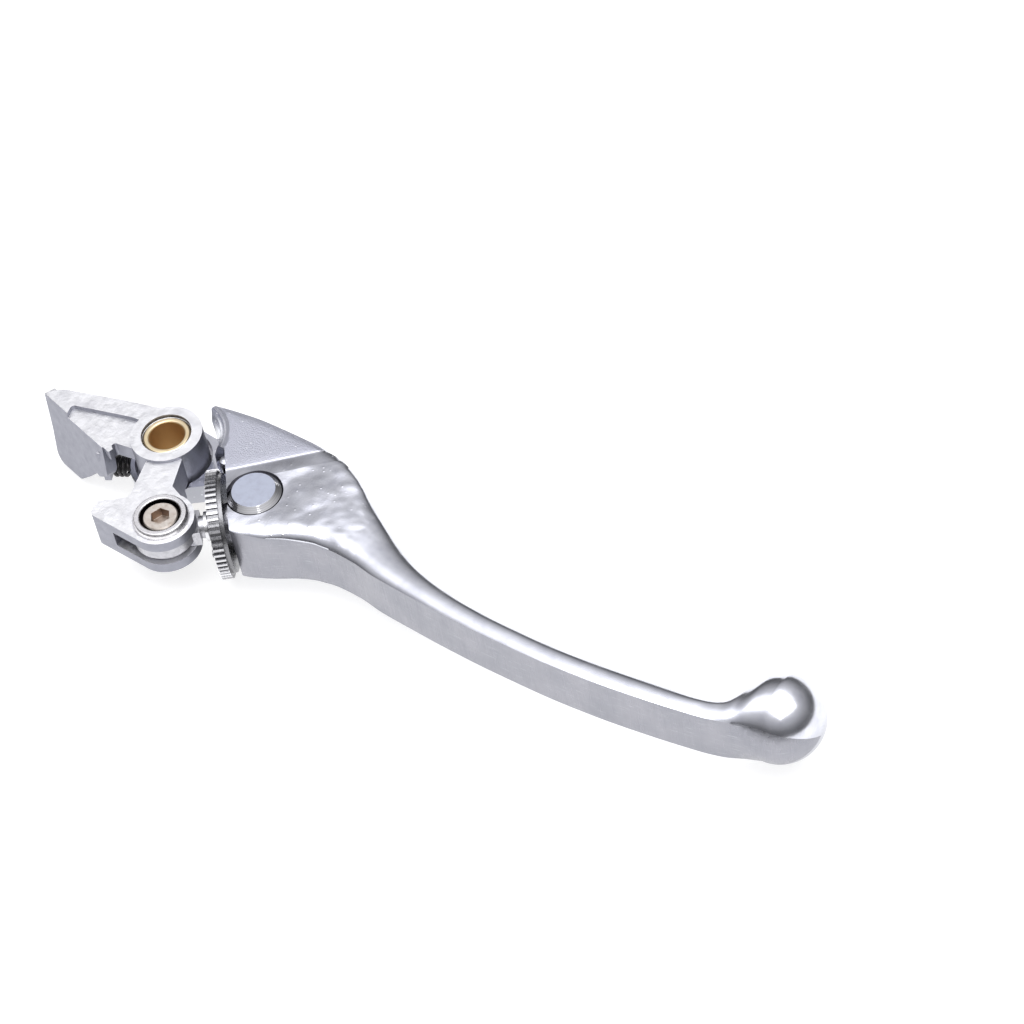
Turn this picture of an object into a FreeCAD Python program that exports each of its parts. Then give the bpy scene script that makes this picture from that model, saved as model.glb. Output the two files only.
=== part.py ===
import FreeCAD, Part
import math
import os
import Sketcher
from FreeCAD import Placement, Rotation, Vector

# Adjustable brake lever: a cast knocker and a long blade share one pivot bush.
# Frame: origin on the pivot axis at the lever's mid height, Z along the pivot,
# X from the pivot towards the ball end, Y away from the rider.  Millimetres.

doc = FreeCAD.newDocument("BrakeLever")

# ---------------------------------------------------------------- dimensions
DIMENSIONS = [
    ("bush_bore", 8.0),         # bolt hole of the pivot bush
    ("bush_outer", 10.8),
    ("bush_top", 5.0),
    ("bush_bottom", -9.2),
    ("fit_gap", 0.05),          # radial running clearance
    ("ring_outer", 16.4),       # knocker boss
    ("ring_top", 5.5),
    ("boss_bottom", -4.0),
    ("slab_half", 4.7),         # half thickness of the knocker arm and fork
    ("gap_half", 2.1),          # half width of the fork gap
    ("plate_bottom", 0.9),
    ("pad_tilt", 10.0),         # lean of the switch pad, degrees
    ("pad_thick", 2.8),
    ("eye_x", 13.9),            # fork pin
    ("eye_y", -20.1),
    ("eye_outer", 14.0),
    ("eye_boss", 12.0),         # thinner lower part of the rod's eye
    ("eye_step", -0.6),
    ("eye_half", 2.0),
    ("ear_outer", 14.8),
    ("pin_shank", 5.1),
    ("pin_head", 8.0),
    ("pin_socket", 4.0),        # hexagon across flats
    ("collar_bore", 9.2),
    ("collar_outer", 12.2),
    ("collar_top", 6.1),
    ("barrel_x", 30.6),         # cross pin in the blade head
    ("barrel_y", -6.8),
    ("barrel_outer", 12.1),
    ("barrel_half", 9.4),
    ("barrel_chamfer", 1.2),
    ("barrel_flat", 5.0),       # from the pin axis to its milled flat
    ("rod_outer", 5.0),
    ("rod_length", 31.0),
    ("washer_start", 9.0),      # from the fork pin
        ("wheel_outer", 24.2),
    ("wheel_root", 23.0),
    ("wheel_teeth", 54),
    ("wheel_knurl", 2.4),
    ("wheel_from_eye", 11.1),
    ("hub_outer", 7.0),
    ("head_half", 8.3),         # half thickness of the blade head
    ("lug_outer", 20.4),        # blade lug round the pivot
    ("lug_top", -3.0),
    ("cup_outer", 17.8),
    ("cup_floor", -4.5),
    ("ball_x", 159.3),
    ("ball_y", -0.85),
    ("ball_radius", 9.6),
    ("coil_mean", 4.4),
    ("coil_wire", 0.9),
    ("coil_pitch", 1.12),
    ("coil_turns", 3.7),
    ("coil_seat", 15.2),        # from the pivot to the coil's closed end
    ("coil_flat", 10.0),        # from the pivot to the flat on the lug
]

sheet = doc.addObject("Spreadsheet::Sheet", "Dimensions")
for row, (alias, value) in enumerate(DIMENSIONS, start=1):
    sheet.set(f"A{row}", alias)
    sheet.set(f"B{row}", str(value))
    sheet.setAlias(f"B{row}", alias)
doc.recompute()

D = dict(DIMENSIONS)
EYE = Vector(D["eye_x"], D["eye_y"], 0)
BARREL = Vector(D["barrel_x"], D["barrel_y"], 0)
ROD_REACH = (BARREL - EYE).Length
ROD_ANGLE = math.degrees(math.atan2(BARREL.y - EYE.y, BARREL.x - EYE.x))
COIL_BEARING = 25.5     # direction in plan of the preload coil, towards the pivot
COIL_DEPTH = -5.5
COIL_AXIS = Vector(math.cos(math.radians(COIL_BEARING)), math.sin(math.radians(COIL_BEARING)), 0)


# ------------------------------------------------------------------- helpers
def cell(name):
    return f"<<Dimensions>>.{name}"


def new_body(label):
    body = doc.addObject("PartDesign::Body", label)
    body.Label = label
    return body


def base_part(body, role):
    return next(f for f in body.Origin.OriginFeatures if f.Role == role)


def new_sketch(body, role="XY_Plane", offset=0.0, turn=None):
    """A sketch on one of the body's planes, lifted by offset and turned in space."""
    sketch = body.newObject("Sketcher::SketchObject", "Sketch")
    sketch.AttachmentSupport = [(base_part(body, role), "")]
    sketch.MapMode = "FlatFace"
    lift = offset if isinstance(offset, Vector) else Vector(0, 0, offset)
    sketch.AttachmentOffset = Placement(lift, turn or Rotation())
    return sketch


def circle(sketch, formula, x=0.0, y=0.0):
    """A circle whose radius follows a formula of the sheet's cells."""
    at = sketch.addGeometry(Part.Circle(Vector(x, y, 0), Vector(0, 0, 1), 1.0), False)
    rule = sketch.addConstraint(Sketcher.Constraint("Radius", at, 1.0))
    sketch.setExpression(f"Constraints[{rule}]", formula)
    return at


def rounded_outline(sketch, corners):
    """A closed outline of straight sides; a corner (x, y, radius) gets a tangent arc."""
    points = [Vector(c[0], c[1], 0) for c in corners]
    radii = [c[2] if len(c) > 2 else 0.0 for c in corners]
    count = len(points)
    starts = []
    ends = []
    arcs = []
    for i, point in enumerate(points):
        before = (points[i - 1] - point).normalize()
        after = (points[(i + 1) % count] - point).normalize()
        if radii[i] == 0:
            starts.append(point)
            ends.append(point)
            arcs.append(None)
            continue
        half = before.getAngle(after) / 2
        back = radii[i] / math.tan(half)
        middle = point + (before + after).normalize() * (radii[i] / math.sin(half) - radii[i])
        starts.append(point + before * back)
        ends.append(point + after * back)
        arcs.append(middle)
    for i in range(count):
        if arcs[i] is not None:
            arc = Part.Arc(starts[i], arcs[i], ends[i])
            sketch.addGeometry(arc, False)
        side_end = starts[(i + 1) % count]
        if (side_end - ends[i]).Length > 1e-6:
            sketch.addGeometry(Part.LineSegment(ends[i], side_end), False)


def strip(distance, near, far, half):
    """Corners of a box across COIL_AXIS, at distances from the pivot behind it."""
    across = Vector(-COIL_AXIS.y, COIL_AXIS.x, 0) * half
    start = COIL_AXIS * -(distance + near)
    end = COIL_AXIS * -(distance + far)
    return [(c.x, c.y) for c in (start - across, start + across, end + across, end - across)]


def pad(body, sketch, formula, midplane=False, downward=False):
    feature = body.newObject("PartDesign::Pad", "Pad")
    feature.Profile = sketch
    feature.setExpression("Length", formula)
    feature.Midplane = midplane
    feature.Reversed = downward
    sketch.Visibility = False
    doc.recompute()
    return feature


def pocket(body, sketch, formula, midplane=False, upward=False):
    """Cut along the sketch's -Z side, or its +Z side when upward."""
    before = body.Shape.Volume
    feature = body.newObject("PartDesign::Pocket", "Pocket")
    feature.Profile = sketch
    feature.setExpression("Length", formula)
    feature.Midplane = midplane
    feature.Reversed = upward
    sketch.Visibility = False
    doc.recompute()
    if body.Shape.Volume >= before:
        raise RuntimeError(f"{body.Label}: {feature.Name} removed nothing")
    return feature


def revolve(body, sketch, axis="V_Axis", cut=False):
    kind = "PartDesign::Groove" if cut else "PartDesign::Revolution"
    feature = body.newObject(kind, "Turned")
    feature.Profile = sketch
    feature.ReferenceAxis = (sketch, [axis])
    feature.Angle = 360
    sketch.Visibility = False
    doc.recompute()
    return feature


def round_edges(body, radius, wanted):
    """Fillet the edges whose centre of mass meets the test."""
    solid = body.Tip
    names = [f"Edge{i}" for i, edge in enumerate(solid.Shape.Edges, 1) if wanted(edge.CenterOfMass)]
    fillet = body.newObject("PartDesign::Fillet", "Rounding")
    fillet.Base = (solid, names)
    fillet.Radius = radius
    doc.recompute()
    return fillet


def turned(label, profile):
    """A body of revolution about Z from (radius, height) corners."""
    body = new_body(label)
    sketch = new_sketch(body, "XZ_Plane")
    rounded_outline(sketch, profile)
    revolve(body, sketch)
    return body


def place(body, x="0", y="0", turn=0.0):
    """Put a body at a plan position given by formulas, turned about Z."""
    body.Placement = Placement(Vector(0, 0, 0), Rotation(Vector(0, 0, 1), turn))
    body.setExpression("Placement.Base.x", x)
    body.setExpression("Placement.Base.y", y)
    doc.recompute()


# --------------------------------------------------------------- pivot pieces
def make_pivot_bush():
    inner = D["bush_bore"] / 2
    outer = D["bush_outer"] / 2
    top = D["bush_top"]
    bottom = D["bush_bottom"]
    edge = 0.3
    body = turned("pivot_bush", [
        (inner, bottom + edge), (inner + edge, bottom), (outer - edge, bottom),
        (outer, bottom + edge), (outer, top - edge), (outer - edge, top),
        (inner + edge, top), (inner, top - edge),
    ])
    place(body)
    return body


def make_thrust_washer():
    inner = D["bush_outer"] / 2 + 0.2
    outer = D["ring_outer"] / 2 - 0.3
    floor = D["cup_floor"]
    top = D["boss_bottom"] - D["fit_gap"]
    body = turned("thrust_washer", [(inner, floor), (outer, floor), (outer, top), (inner, top)])
    place(body)
    return body


# -------------------------------------------------------------------- knocker
ARM_OUTLINE = [
    (-0.5, -5.0), (3.5, -18.4, 1.4), (-2.3, -22.7, 1.5), (-1.3, -26.4, 1.5),
    (12.8, -27.4), (D["eye_x"], D["eye_y"]), (13.6, -12.7), (10.4, -11.4), (7.4, -4.0),
]
PLATE_OUTLINE = [
    (-34.1, -2.2, 0.8), (-30.5, 0.6, 4.0), (-15.5, 4.3), (-5.0, 6.5), (0, 0),
    (-4.9, -6.6), (-9.4, -7.1, 0.6), (-9.9, -9.2, 0.3),
]
RECESS_OUTLINE = [
    (-25.6, -2.4, 0.8), (-11.0, 0.9), (-7.0, 1.2), (-6.0, -6.5), (-9.6, -6.8),
    (-9.7, -12.0), (-24.5, -7.0),
]
# Switch pad in its own plane: along its top edge, and down from it.
PAD_CORNER = Vector(-33.9, -2.4, 0)
PAD_BEARING = -15.9
PAD_OUTLINE = [
    (0.2, 0), (2.2, -9.0, 14.0), (3.2, -17.8, 3.2), (12.4, -17.7, 2.2),
    (17.0, -13.6, 1.0), (19.2, -10.9, 0.8), (20.4, -11.4, 0.8), (23.9, -9.2, 1.2), (22.6, 0),
]


def make_knocker():
    body = new_body("knocker")
    # arm, claw and fork ears at full thickness
    arm = new_sketch(body)
    rounded_outline(arm, ARM_OUTLINE)
    pad(body, arm, "2 * " + cell("slab_half"), midplane=True)
    ears = new_sketch(body)
    circle(ears, cell("ear_outer") + " / 2", D["eye_x"], D["eye_y"])
    pad(body, ears, "2 * " + cell("slab_half"), midplane=True)
    # room under the arm for the blade's lug
    relief = new_sketch(body, offset=-D["slab_half"] - 1)
    circle(relief, cell("lug_outer") + " / 2 + 0.7")
    pocket(body, relief, cell("slab_half") + " + 1 + " + cell("lug_top") + " + 0.5", upward=True)
    # triangular plate with its leaning switch pad
    plate = new_sketch(body, offset=D["slab_half"])
    rounded_outline(plate, PLATE_OUTLINE)
    pad(body, plate, cell("slab_half") + " - " + cell("plate_bottom"), downward=True)
    lean = Rotation(Vector(0, 1, 0), PAD_BEARING).multiply(Rotation(Vector(1, 0, 0), -D["pad_tilt"]))
    corner = Vector(PAD_CORNER.x, D["slab_half"], -PAD_CORNER.y)
    wall = new_sketch(body, "XZ_Plane", corner, lean)
    rounded_outline(wall, PAD_OUTLINE)
    pad(body, wall, cell("pad_thick"), downward=True)
    # block behind the pad that the preload coil bears on
    block = new_sketch(body, offset=D["plate_bottom"])
    rounded_outline(block, strip(D["coil_seat"], 0, 1.5, 2.3))
    pad(body, block, cell("plate_bottom") + " + 8.1", downward=True)
    # pivot boss, its bore and the chamfer that shows as a dark ring
    boss = new_sketch(body, offset=D["ring_top"])
    circle(boss, cell("ring_outer") + " / 2")
    pad(body, boss, cell("ring_top") + " - " + cell("boss_bottom"), downward=True)
    bore = new_sketch(body, offset=D["ring_top"])
    circle(bore, cell("bush_outer") + " / 2 + " + cell("fit_gap"))
    pocket(body, bore, "20")
    lead = new_sketch(body, "XZ_Plane")
    rim = D["bush_outer"] / 2
    rounded_outline(lead, [
        (rim - 0.5, D["ring_top"] + 0.5), (rim + 0.35, D["ring_top"] + 0.5),
        (rim + 0.35, D["ring_top"] - 1.0), (rim - 0.5, D["ring_top"] - 1.6),
    ])
    revolve(body, lead, cut=True)
    # shallow recess on the plate, open along its front edge
    recess = new_sketch(body, offset=D["slab_half"])
    rounded_outline(recess, RECESS_OUTLINE)
    pocket(body, recess, "1.2")
    # the ring stands above the recess, so its base is put back
    base = new_sketch(body, offset=D["ring_top"])
    circle(base, cell("ring_outer") + " / 2")
    circle(base, cell("bush_outer") + " / 2 + 0.35")
    pad(body, base, "3", downward=True)
    # fork gap, milled in from the open side of the fork
    gap = new_sketch(body)
    rounded_outline(gap, [(4.9, -32.0), (30.0, -32.0), (30.0, -12.9), (4.9, -12.9)])
    pocket(body, gap, "2 * " + cell("gap_half"), midplane=True)
    # pin hole and the seat of the pin's collar
    hole = new_sketch(body, offset=D["slab_half"])
    circle(hole, cell("pin_shank") + " / 2 + 0.02", D["eye_x"], D["eye_y"])
    pocket(body, hole, "2 * " + cell("slab_half"))
    seat = new_sketch(body, offset=D["slab_half"])
    circle(seat, cell("collar_bore") + " / 2 + 0.6", D["eye_x"], D["eye_y"])
    pocket(body, seat, "1.7")
    # round channel that keeps the pad clear of the coil
    mouth = 9.0
    front = COIL_AXIS * -mouth
    lift = Vector(front.y, COIL_DEPTH, front.x)
    channel = new_sketch(body, "YZ_Plane", lift, Rotation(Vector(0, 1, 0), COIL_BEARING))
    circle(channel, cell("coil_mean") + " / 2 + " + cell("coil_wire") + " / 2 + 0.25")
    pocket(body, channel, cell("coil_seat") + f" - {mouth}")
    place(body)
    return body


# ---------------------------------------------------------------------- blade
HEAD_OUTLINE = [
    (31.6, -17.6), (38.8, -16.1, 8.0), (46.4, -12.1, 9.0), (56.0, -11.3),
    (56.0, 1.8), (41.0, 9.9, 12.0), (22.0, 11.6, 14.0),
    (5.0, 9.7, 1.2), (5.0, 4.0), (16.8, 0.6),
]
LUG_WEB_OUTLINE = [
    (5.4, -7.5), (16.8, 0.6), (22.0, 2.0), (22.0, 11.2), (5.0, 9.6), (0, 10.0), (0, 0),
]
# Handle stations: distance from the pivot, front line, back line, half height.
HANDLE_STATIONS = [
    (53.0, -11.3, 3.2, 8.2),
    (64.0, -12.3, -2.2, 7.3),
    (76.0, -13.8, -5.9, 6.8),
    (92.0, -14.8, -8.5, 6.5),
    (110.0, -15.2, -9.0, 6.4),
    (128.0, -14.4, -7.9, 6.4),
    (142.0, -12.9, -6.4, 6.4),
    (150.0, -11.8, -5.0, 6.0),
    (158.5, -9.1, -1.5, 4.0),
]


def handle_section(body, x, front, back, half):
    """One cross section of the handle: flat front side, deeply rounded back."""
    sketch = new_sketch(body, "YZ_Plane", x)
    shoulder = back - 0.36 * (back - front)
    soft = 0.4 * half
    rounded_outline(sketch, [
        (front, -half, 0.8), (shoulder, -half, soft), (back, -0.45 * half, soft),
        (back, 0.45 * half, soft), (shoulder, half, soft), (front, half, 0.8),
    ])
    sketch.Visibility = False
    return sketch


def make_blade():
    body = new_body("lever_blade")
    head = new_sketch(body)
    rounded_outline(head, HEAD_OUTLINE)
    pad(body, head, "2 * " + cell("head_half"), midplane=True)
    round_edges(body, 1.8, lambda c: abs(c.z) > D["head_half"] - 0.1 and c.y < -11.0)
    # dished room for the knocker boss, sloping up to the head's top
    low = new_sketch(body, offset=D["lug_top"])
    circle(low, cell("lug_outer") + " / 2 + 0.8")
    high = new_sketch(body, offset=D["head_half"] + 0.1)
    circle(high, "12.5", 4.5, -1.6)
    dish = body.newObject("PartDesign::SubtractiveLoft", "Dish")
    dish.Profile = low
    dish.Sections = [high]
    dish.Ruled = True
    doc.recompute()
    under = new_sketch(body, offset=D["lug_top"])
    circle(under, cell("lug_outer") + " / 2 + 0.8")
    pocket(body, under, "20")
    # lug round the pivot with its flat front wall
    web = new_sketch(body, offset=D["lug_top"])
    rounded_outline(web, LUG_WEB_OUTLINE)
    pad(body, web, cell("lug_top") + " + " + cell("head_half"), downward=True)
    ring = new_sketch(body, offset=D["lug_top"])
    circle(ring, cell("lug_outer") + " / 2")
    pad(body, ring, cell("lug_top") + " + " + cell("head_half"), downward=True)
    wall = new_sketch(body)
    rounded_outline(wall, [(-10.6, -19.0), (5.39, -7.51), (14.0, -1.33), (14.0, -19.0)])
    pocket(body, wall, "40", midplane=True)
    # flat that the preload coil bears on
    flat = new_sketch(body)
    rounded_outline(flat, strip(D["coil_flat"], 0, 6, 8))
    pocket(body, flat, "40", midplane=True)
    # cup for the knocker boss, and the bush's bore
    cup = new_sketch(body, offset=D["lug_top"])
    circle(cup, cell("cup_outer") + " / 2")
    pocket(body, cup, cell("lug_top") + " - " + cell("cup_floor"))
    bore = new_sketch(body)
    circle(bore, cell("bush_outer") + " / 2 + " + cell("fit_gap"))
    pocket(body, bore, "40", midplane=True)
    # handle and ball
    sections = [handle_section(body, *station) for station in HANDLE_STATIONS]
    handle = body.newObject("PartDesign::AdditiveLoft", "Handle")
    handle.Profile = sections[0]
    handle.Sections = sections[1:]
    doc.recompute()
    ball = new_sketch(body, "XY_Plane", Vector(D["ball_x"], D["ball_y"], 0))
    radius = D["ball_radius"]
    ball.addGeometry(Part.Arc(Vector(0, -radius, 0), Vector(radius, 0, 0), Vector(0, radius, 0)), False)
    ball.addGeometry(Part.LineSegment(Vector(0, radius, 0), Vector(0, -radius, 0)), False)
    revolve(body, ball)
    # cross pin's hole, and the bore for the rod and the wheel's hub
    hole = new_sketch(body)
    circle(hole, cell("barrel_outer") + " / 2 + " + cell("fit_gap"), D["barrel_x"], D["barrel_y"])
    pocket(body, hole, "40", midplane=True)
    far = ROD_REACH + 12.5
    direction = (BARREL - EYE).normalize()
    end = EYE + direction * far
    rod = new_sketch(body, "YZ_Plane", Vector(end.y, 0, end.x), Rotation(Vector(0, 1, 0), ROD_ANGLE))
    circle(rod, cell("hub_outer") + " / 2 + 0.9")
    pocket(body, rod, "24")
    place(body)
    return body


# ------------------------------------------------------------ adjuster pieces
def make_barrel_pin():
    radius = D["barrel_outer"] / 2
    half = D["barrel_half"]
    edge = D["barrel_chamfer"]
    groove = D["head_half"] + 0.1
    body = turned("barrel_pin", [
        (0, -half), (radius - 0.6, -half), (radius - 0.6, -groove - 0.8), (radius - 0.6, -groove),
        (radius, -groove), (radius, half - edge), (radius - edge, half), (0, half),
    ])
    cross = new_sketch(body, "XZ_Plane")
    circle(cross, cell("rod_outer") + " / 2 + 0.5")
    pocket(body, cross, "40", midplane=True)
    flat = new_sketch(body, "XZ_Plane", D["barrel_outer"])
    rounded_outline(flat, [(-8, -4.4), (8, -4.4), (8, 4.4), (-8, 4.4)])
    pocket(body, flat, cell("barrel_outer") + " - " + cell("barrel_flat"))
    place(body, cell("barrel_x"), cell("barrel_y"), ROD_ANGLE - 90)
    return body


def make_barrel_clip():
    """Open retaining ring below the blade."""
    body = new_body("barrel_clip")
    top = -D["head_half"] - 0.1
    ring = new_sketch(body, offset=top)
    circle(ring, cell("barrel_outer") + " / 2 + 0.75")
    circle(ring, cell("barrel_outer") + " / 2 - 0.55")
    pad(body, ring, "0.8", downward=True)
    mouth = new_sketch(body, offset=top)
    rounded_outline(mouth, [(0, -1.8), (12, -1.8), (12, 1.8), (0, 1.8)])
    pocket(body, mouth, "5")
    place(body, cell("barrel_x"), cell("barrel_y"), ROD_ANGLE)
    return body


def make_adjuster_rod():
    """Stepped eye for the fork pin, and a long round shank lying along X from it."""
    body = new_body("adjuster_rod")
    eye = new_sketch(body, offset=D["eye_half"])
    circle(eye, cell("eye_outer") + " / 2")
    pad(body, eye, cell("eye_half") + " - " + cell("eye_step"), downward=True)
    boss = new_sketch(body, offset=D["eye_step"])
    circle(boss, cell("eye_boss") + " / 2")
    pad(body, boss, cell("eye_step") + " + " + cell("eye_half"), downward=True)
    tongue = new_sketch(body)
    rounded_outline(tongue, [(0, -3.4), (7.9, -3.4), (7.9, 3.4), (0, 3.4)])
    pad(body, tongue, "2 * " + cell("eye_half"), midplane=True)
    shank = D["rod_outer"] / 2
    length = D["rod_length"]
    profile = new_sketch(body)
    rounded_outline(profile, [
        (7.7, 0), (7.7, shank), (29.5, shank), (29.5, shank - 0.5), (30.2, shank - 0.5), (30.2, shank),
        (length - 0.4, shank), (length, shank - 0.4), (length, 0),
    ])
    revolve(body, profile, axis="H_Axis")
    hole = new_sketch(body)
    circle(hole, cell("pin_shank") + " / 2 + " + cell("fit_gap"))
    pocket(body, hole, "20", midplane=True)
    place(body, cell("eye_x"), cell("eye_y"), ROD_ANGLE)
    return body


def make_rod_ring(label, start, thick, inner, outer):
    """A flat ring threaded over the rod, start being its distance from the eye."""
    body = new_body(label)
    ring = new_sketch(body, "YZ_Plane", start)
    circle(ring, str(inner))
    circle(ring, str(outer))
    pad(body, ring, str(thick))
    place(body, cell("eye_x"), cell("eye_y"), ROD_ANGLE)
    return body


def make_wheel():
    """Knurled wheel with a smooth shoulder and a hub that bears on the cross pin."""
    body = new_body("adjuster_wheel")
    start = D["wheel_from_eye"]
    knurl = D["wheel_knurl"]
    disc = new_sketch(body, "YZ_Plane", start)
    circle(disc, cell("wheel_root") + " / 2")
    pad(body, disc, cell("wheel_knurl"))
    root = D["wheel_root"] / 2
    tip = D["wheel_outer"] / 2
    pitch = 2 * math.pi * root / D["wheel_teeth"]
    tooth = new_sketch(body, "YZ_Plane", start)
    rounded_outline(tooth, [
        (root - 0.4, -0.34 * pitch), (tip, -0.19 * pitch), (tip, 0.19 * pitch), (root - 0.4, 0.34 * pitch),
    ])
    first = pad(body, tooth, cell("wheel_knurl"))
    teeth = body.newObject("PartDesign::PolarPattern", "Teeth")
    teeth.Originals = [first]
    teeth.Axis = (base_part(body, "X_Axis"), [""])
    teeth.Angle = 360
    teeth.Occurrences = int(D["wheel_teeth"])
    body.Tip = teeth
    doc.recompute()
    shoulder = new_sketch(body, "YZ_Plane", start + knurl)
    circle(shoulder, cell("wheel_root") + " / 2 - 0.5")
    pad(body, shoulder, "0.9")
    hub = new_sketch(body, "YZ_Plane", start + knurl)
    circle(hub, cell("hub_outer") + " / 2")
    hub_length = ROD_REACH - D["barrel_flat"] - D["fit_gap"] - start - knurl
    pad(body, hub, str(round(hub_length, 3)))
    nub = new_sketch(body, "YZ_Plane", start)
    circle(nub, "0.8", -9.2, 1.0)
    pad(body, nub, "0.6", downward=True)
    bore = new_sketch(body, "YZ_Plane", start)
    circle(bore, cell("rod_outer") + " / 2 + 0.3")
    pocket(body, bore, "60", midplane=True)
    place(body, cell("eye_x"), cell("eye_y"), ROD_ANGLE)
    return body


# ------------------------------------------------------------- fork pin pieces
def make_socket_pin():
    head = D["pin_head"] / 2
    shank = D["pin_shank"] / 2
    top = D["collar_top"] - 0.5
    seat = top - 2.2
    body = turned("socket_pin", [
        (0, -D["slab_half"] + 0.1), (shank - 0.4, -D["slab_half"] + 0.1), (shank, -D["slab_half"] + 0.5),
        (shank, seat), (head, seat), (head, top - 0.3), (head - 0.3, top), (0, top),
    ])
    socket = new_sketch(body, offset=top)
    corner = D["pin_socket"] / math.sqrt(3)
    angles = [math.radians(60 * i + 8) for i in range(6)]
    rounded_outline(socket, [(corner * math.cos(a), corner * math.sin(a)) for a in angles])
    pocket(body, socket, "2.4")
    place(body, cell("eye_x"), cell("eye_y"))
    return body


def make_pin_collar():
    """Turned collar pressed in the upper ear round the pin's head."""
    inner = D["collar_bore"] / 2
    outer = D["collar_outer"] / 2
    ear = D["slab_half"]
    top = D["collar_top"]
    body = turned("pin_collar", [
        (inner, ear - 1.65), (inner + 0.55, ear - 1.65), (inner + 0.55, ear + 0.02),
        (outer + 0.3, ear + 0.02), (outer, top - 0.35), (outer - 0.35, top), (inner + 0.2, top), (inner, top - 0.2),
    ])
    place(body, cell("eye_x"), cell("eye_y"))
    return body


def make_preload_coil():
    """Round-wire coil between the knocker's seat and the blade's flat."""
    helix = doc.addObject("Part::Helix", "CoilPath")
    helix.setExpression("Pitch", cell("coil_pitch"))
    helix.setExpression("Height", cell("coil_pitch") + " * " + cell("coil_turns"))
    helix.setExpression("Radius", cell("coil_mean") + " / 2")
    wire = doc.addObject("Part::Circle", "CoilWire")
    wire.setExpression("Radius", cell("coil_wire") + " / 2")
    wire.Placement = Placement(Vector(D["coil_mean"] / 2, 0, 0), Rotation(Vector(1, 0, 0), 90))
    coil = doc.addObject("Part::Sweep", "preload_coil")
    coil.Label = "preload_coil"
    coil.Sections = [wire]
    coil.Spine = (helix, ["Edge1"])
    coil.Solid = True
    coil.Frenet = True
    turn = Rotation(Vector(0, 0, 1), COIL_BEARING).multiply(Rotation(Vector(0, 1, 0), 90))
    start = COIL_AXIS * (D["coil_wire"] / 2 + D["fit_gap"] - D["coil_seat"])
    coil.Placement = Placement(start + Vector(0, 0, COIL_DEPTH), turn)
    doc.recompute()
    return coil


# ------------------------------------------------------------- build and save
nodes = [
    make_pivot_bush(),
    make_thrust_washer(),
    make_knocker(),
    make_blade(),
    make_barrel_pin(),
    make_barrel_clip(),
    make_adjuster_rod(),
    make_rod_ring("rod_washer", D["washer_start"], 0.7, D["rod_outer"] / 2 + 0.02, D["rod_outer"] / 2 + 0.8),
    make_rod_ring("rod_end_clip", 29.55, 0.6, D["rod_outer"] / 2 - 0.45, D["rod_outer"] / 2 + 1.3),
    make_wheel(),
    make_socket_pin(),
    make_pin_collar(),
    make_preload_coil(),
]
doc.recompute()

for item in doc.Objects:
    if "Invalid" in item.State or "Error" in item.State:
        raise RuntimeError(f"{item.Label}: {item.State}")
for node in nodes:
    if node.Shape.isNull() or not node.Shape.isValid():
        raise RuntimeError(f"{node.Label}: bad shape")
    if len(node.Shape.Solids) != 1:
        raise RuntimeError(f"{node.Label}: {len(node.Shape.Solids)} solids")

os.makedirs("parts", exist_ok=True)
for node in nodes:
    node.Shape.exportStep(f"parts/{node.Label}.step")
    print(node.Label, round(node.Shape.Volume, 1), "mm3")
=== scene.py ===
import math

import bmesh
import bpy
import numpy as np
from mathutils import Matrix, Vector


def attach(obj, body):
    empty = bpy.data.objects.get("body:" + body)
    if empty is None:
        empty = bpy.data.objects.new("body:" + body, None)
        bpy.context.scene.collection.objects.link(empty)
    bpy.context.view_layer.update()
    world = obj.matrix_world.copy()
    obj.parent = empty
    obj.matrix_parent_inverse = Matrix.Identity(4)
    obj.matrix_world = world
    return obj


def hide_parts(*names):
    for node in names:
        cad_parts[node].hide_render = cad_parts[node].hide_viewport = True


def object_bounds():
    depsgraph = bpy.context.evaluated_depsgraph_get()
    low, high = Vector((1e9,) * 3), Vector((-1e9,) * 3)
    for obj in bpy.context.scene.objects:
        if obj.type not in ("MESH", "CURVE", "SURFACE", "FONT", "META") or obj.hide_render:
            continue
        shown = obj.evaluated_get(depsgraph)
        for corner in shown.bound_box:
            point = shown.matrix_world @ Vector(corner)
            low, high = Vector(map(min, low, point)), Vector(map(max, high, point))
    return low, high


# The looks of an adjustable brake lever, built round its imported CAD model.
# Lengths are millimetres in the CAD frame unless a name or comment says metres:
# X runs from the pivot to the ball end, Y away from the rider, Z up the pivot.

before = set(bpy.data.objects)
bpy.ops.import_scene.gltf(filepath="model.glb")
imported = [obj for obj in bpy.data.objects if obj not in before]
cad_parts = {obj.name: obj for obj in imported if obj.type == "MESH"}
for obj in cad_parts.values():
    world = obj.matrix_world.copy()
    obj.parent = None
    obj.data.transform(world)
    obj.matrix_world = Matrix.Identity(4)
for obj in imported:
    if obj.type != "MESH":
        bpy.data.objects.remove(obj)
CAD_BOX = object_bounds()

MM = 0.001

# ------------------------------------------------------- sizes shared with the CAD
PIVOT = Vector((0, 0, 0))
EYE = Vector((13.9, -20.1, 0))          # fork pin at the end of the adjuster rod
CROSS_PIN = Vector((30.6, -6.8, 0))
CROSS_PIN_HOLE = 6.1                    # this and the next three are radii
BUSH_HOLE = 5.45
CUP_RADIUS = 8.9
ROD_BORE = 4.4
ROD_BORE_SPAN = (12, 34)                # from the fork pin, along the rod
CUP_FLOOR = -4.5
LUG_TOP = -3.0
WEB_BOTTOM = -8.29
COIL_BEARING = 25.5                     # degrees, from the coil to the pivot
COIL_FLAT = 10                          # from the pivot to the flat for the coil
PAST = 12                               # a cutter's height, past either face
BALL = Vector((159.3, -0.85, 0))
BALL_RADIUS = 9.6

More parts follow.
